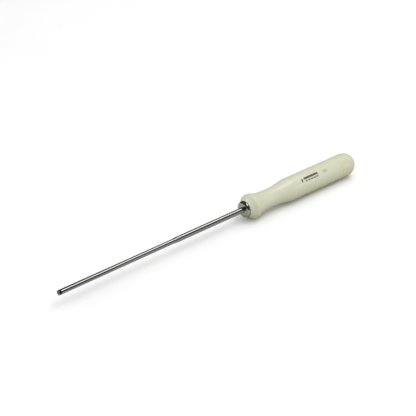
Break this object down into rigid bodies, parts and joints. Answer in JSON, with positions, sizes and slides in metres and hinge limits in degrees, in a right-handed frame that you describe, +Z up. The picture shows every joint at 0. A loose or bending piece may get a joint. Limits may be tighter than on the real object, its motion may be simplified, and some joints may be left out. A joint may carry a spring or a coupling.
{
  "type": "long-reach hand driver",
  "caption": "Long-reach hand driver with a smooth ivory handle, polished ferrule, slim stepped steel shaft, small hexagonal bit and a screw-off end cap.",
  "frame": {"origin": "centre of the box's underside: mid-length of the tool, on the plane that the handle's flange touches when the tool lies down", "axes": "+X along the shaft's axis from the bit to the end cap, +Z up, the shaft's axis level"},
  "size_m": [0.4, 0.0272, 0.0273],
  "materials": {
    "ivory_plastic": "smooth moulded, satin gloss",
    "cap_plastic": "smooth moulded, satin gloss, a shade yellower",
    "polished_steel": "mirror polished",
    "shaft_steel": "bright drawn and polished",
    "bit_steel": "hardened, blue-grey, fine ground",
    "black_oxide": "blackened steel, matt",
    "zinc_steel": "zinc plated",
    "brass": "turned brass",
    "seal_rubber": "matt nitrile rubber"
  },
  "bodies": {
    "handle": {"drive_bit": "bit_steel", "bit_ring": "black_oxide", "shaft": "shaft_steel", "ferrule": "polished_steel", "ferrule_gasket": "seal_rubber", "handle_body": "ivory_plastic", "tang_sleeve": "brass", "sleeve_pin": "zinc_steel", "clamp_washer": "zinc_steel", "lock_washer": "zinc_steel", "lock_nut": "zinc_steel"},
    "cap_seal": {"cap_o_ring": "seal_rubber"},
    "cap": {"end_cap": "cap_plastic"}
  },
  "joints": [
    {"name": "cap_travel", "type": "slide", "parent": "handle", "child": "cap_seal", "axis": [1, 0, 0], "range_m": [0, 0.009]},
    {"name": "cap_turn", "type": "hinge", "parent": "cap_seal", "child": "cap", "pos_m": [0.19, 0, 0.01365], "axis": [1, 0, 0], "range_deg": [0, 1620]}
  ],
  "couplings": [
    {"joint": "cap_travel", "follows": "cap_turn", "m_per_rad": 0.00031831}
  ]
}
